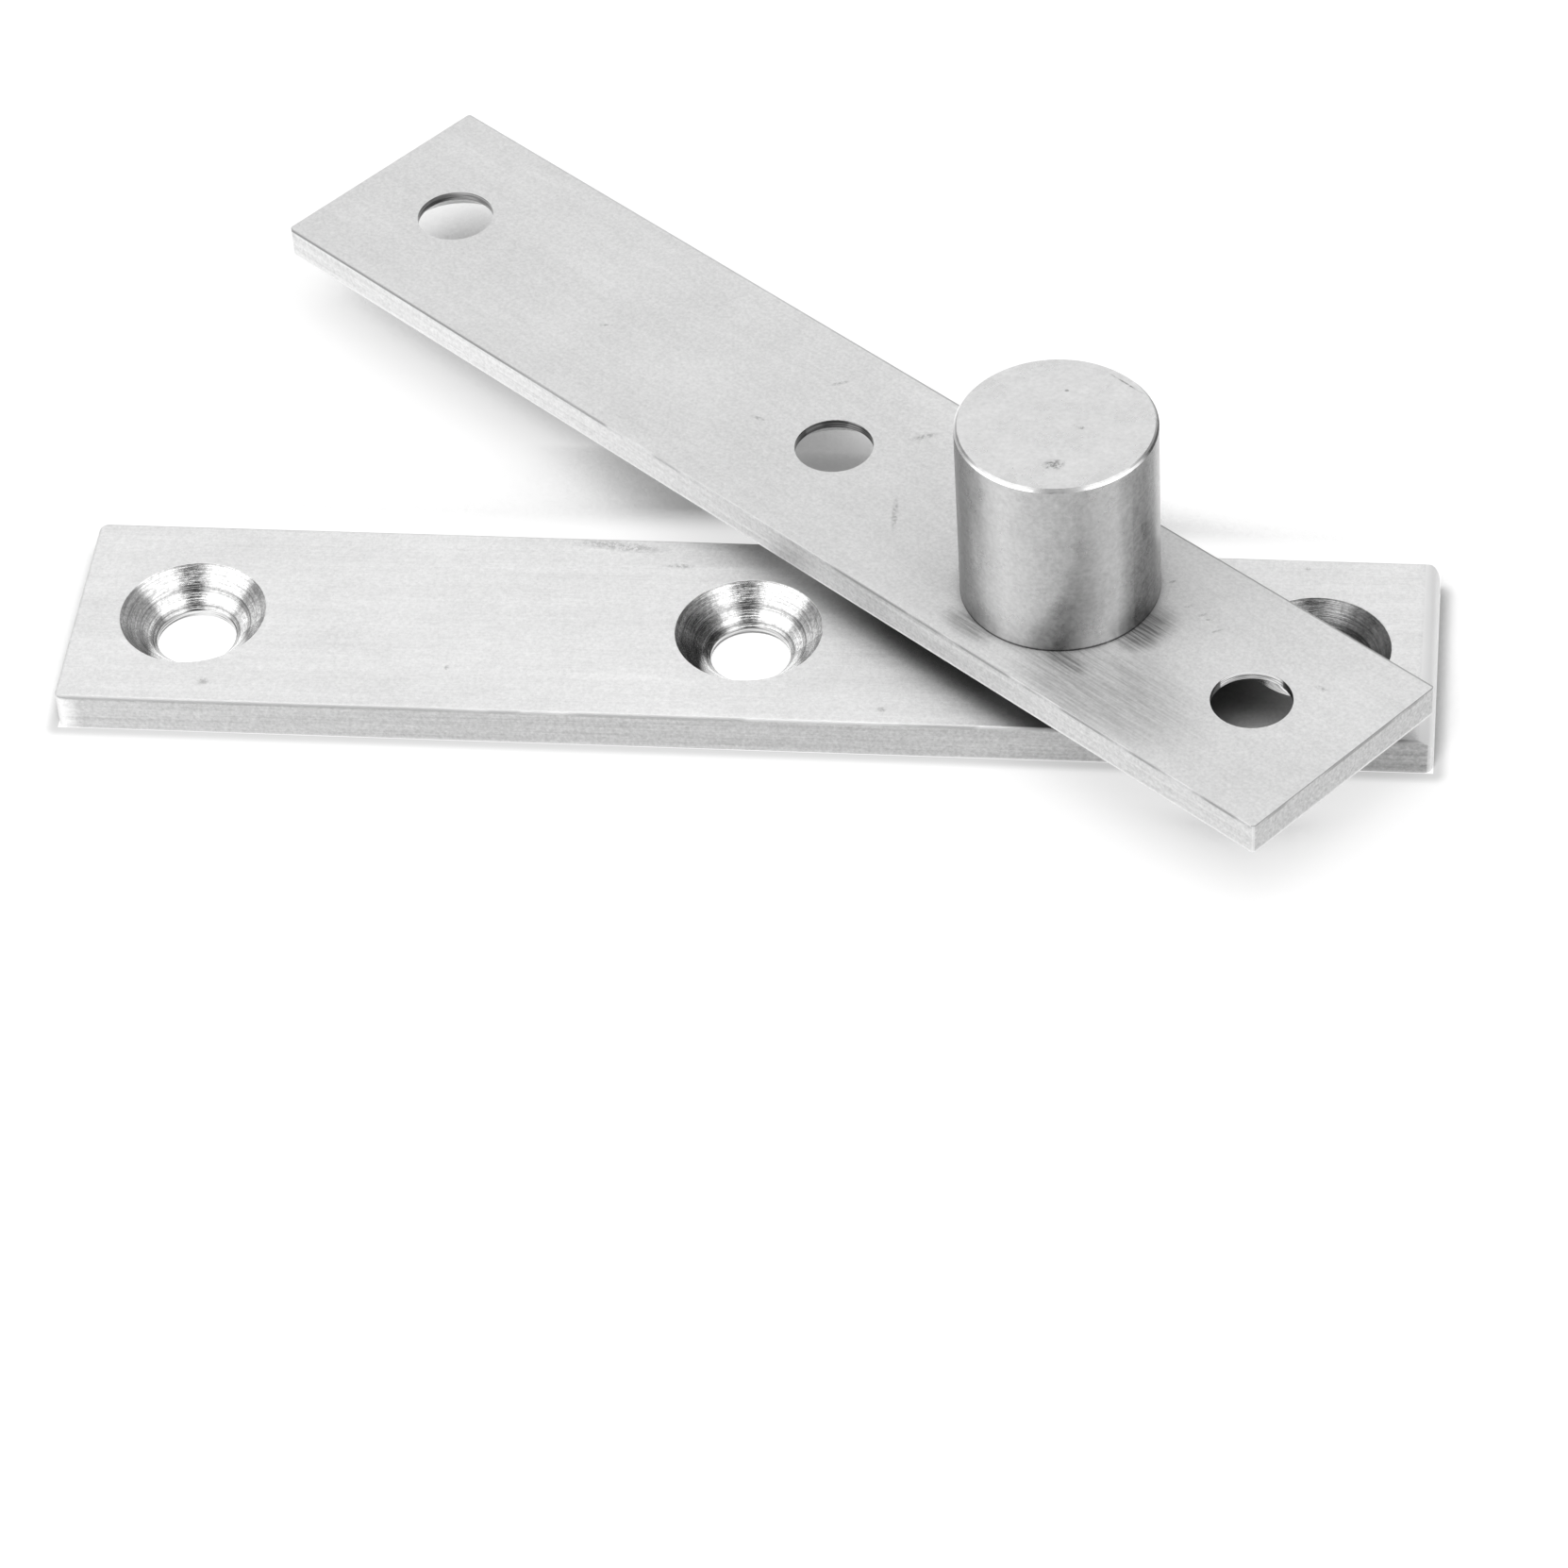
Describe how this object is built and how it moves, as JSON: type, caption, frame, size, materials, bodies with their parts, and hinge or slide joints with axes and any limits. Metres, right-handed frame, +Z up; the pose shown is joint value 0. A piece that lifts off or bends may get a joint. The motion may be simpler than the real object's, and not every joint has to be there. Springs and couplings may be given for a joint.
{
  "type": "pivot hinge",
  "caption": "Concealed pivot hinge with a screwed frame leaf, a screwed door leaf with a round housing, and a roller thrust bearing between them.",
  "frame": {"origin": "pivot axis at the underside of the lower (frame) leaf", "axes": "+X along the lower leaf from its long arm to its short arm, +Z up the pivot axis from the lower leaf to the housing"},
  "size_m": [0.1, 0.0776, 0.0236],
  "materials": {
    "leaf_steel": "brushed along the leaf's length",
    "turned_steel": "turned",
    "bearing_steel": "ground and polished",
    "brass": "machined",
    "nylon": "natural"
  },
  "bodies": {
    "frame": {"frame_plate": "leaf_steel", "pivot_spindle": "turned_steel", "lower_race": "bearing_steel"},
    "door": {"door_plate": "leaf_steel", "pivot_housing": "turned_steel", "journal_bush": "brass", "head_washer": "nylon", "upper_race": "bearing_steel"},
    "cage": {"roller_cage": "bearing_steel"},
    "roller_01": {"thrust_roller_01": "bearing_steel"},
    "roller_02": {"thrust_roller_02": "bearing_steel"},
    "roller_03": {"thrust_roller_03": "bearing_steel"},
    "roller_04": {"thrust_roller_04": "bearing_steel"},
    "roller_05": {"thrust_roller_05": "bearing_steel"},
    "roller_06": {"thrust_roller_06": "bearing_steel"},
    "roller_07": {"thrust_roller_07": "bearing_steel"},
    "roller_08": {"thrust_roller_08": "bearing_steel"},
    "roller_09": {"thrust_roller_09": "bearing_steel"},
    "roller_10": {"thrust_roller_10": "bearing_steel"},
    "roller_11": {"thrust_roller_11": "bearing_steel"},
    "roller_12": {"thrust_roller_12": "bearing_steel"}
  },
  "joints": [
    {"name": "door_swing", "type": "hinge", "parent": "frame", "child": "door", "pos_m": [0, 0, 0], "axis": [0, 0, 1], "continuous": true},
    {"name": "cage_orbit", "type": "hinge", "parent": "frame", "child": "cage", "pos_m": [0, 0, 0.0045], "axis": [0, 0, 1], "continuous": true},
    {"name": "roller_01_roll", "type": "hinge", "parent": "cage", "child": "roller_01", "pos_m": [0.00555, 0, 0.0045], "axis": [1, 0, 0], "continuous": true},
    {"name": "roller_02_roll", "type": "hinge", "parent": "cage", "child": "roller_02", "pos_m": [0.00481, 0.00278, 0.0045], "axis": [0.866, 0.5, 0], "continuous": true},
    {"name": "roller_03_roll", "type": "hinge", "parent": "cage", "child": "roller_03", "pos_m": [0.00278, 0.00481, 0.0045], "axis": [0.5, 0.866, 0], "continuous": true},
    {"name": "roller_04_roll", "type": "hinge", "parent": "cage", "child": "roller_04", "pos_m": [0, 0.00555, 0.0045], "axis": [0, 1, 0], "continuous": true},
    {"name": "roller_05_roll", "type": "hinge", "parent": "cage", "child": "roller_05", "pos_m": [-0.00278, 0.00481, 0.0045], "axis": [-0.5, 0.866, 0], "continuous": true},
    {"name": "roller_06_roll", "type": "hinge", "parent": "cage", "child": "roller_06", "pos_m": [-0.00481, 0.00278, 0.0045], "axis": [-0.866, 0.5, 0], "continuous": true},
    {"name": "roller_07_roll", "type": "hinge", "parent": "cage", "child": "roller_07", "pos_m": [-0.00555, 0, 0.0045], "axis": [-1, 0, 0], "continuous": true},
    {"name": "roller_08_roll", "type": "hinge", "parent": "cage", "child": "roller_08", "pos_m": [-0.00481, -0.00278, 0.0045], "axis": [-0.866, -0.5, 0], "continuous": true},
    {"name": "roller_09_roll", "type": "hinge", "parent": "cage", "child": "roller_09", "pos_m": [-0.00278, -0.00481, 0.0045], "axis": [-0.5, -0.866, 0], "continuous": true},
    {"name": "roller_10_roll", "type": "hinge", "parent": "cage", "child": "roller_10", "pos_m": [0, -0.00555, 0.0045], "axis": [0, -1, 0], "continuous": true},
    {"name": "roller_11_roll", "type": "hinge", "parent": "cage", "child": "roller_11", "pos_m": [0.00278, -0.00481, 0.0045], "axis": [0.5, -0.866, 0], "continuous": true},
    {"name": "roller_12_roll", "type": "hinge", "parent": "cage", "child": "roller_12", "pos_m": [0.00481, -0.00278, 0.0045], "axis": [0.866, -0.5, 0], "continuous": true}
  ],
  "couplings": [
    {"joint": "cage_orbit", "follows": "door_swing", "ratio": 0.5},
    {"joint": "roller_01_roll", "follows": "door_swing", "ratio": -3.7},
    {"joint": "roller_02_roll", "follows": "door_swing", "ratio": -3.7},
    {"joint": "roller_03_roll", "follows": "door_swing", "ratio": -3.7},
    {"joint": "roller_04_roll", "follows": "door_swing", "ratio": -3.7},
    {"joint": "roller_05_roll", "follows": "door_swing", "ratio": -3.7},
    {"joint": "roller_06_roll", "follows": "door_swing", "ratio": -3.7},
    {"joint": "roller_07_roll", "follows": "door_swing", "ratio": -3.7},
    {"joint": "roller_08_roll", "follows": "door_swing", "ratio": -3.7},
    {"joint": "roller_09_roll", "follows": "door_swing", "ratio": -3.7},
    {"joint": "roller_10_roll", "follows": "door_swing", "ratio": -3.7},
    {"joint": "roller_11_roll", "follows": "door_swing", "ratio": -3.7},
    {"joint": "roller_12_roll", "follows": "door_swing", "ratio": -3.7}
  ]
}
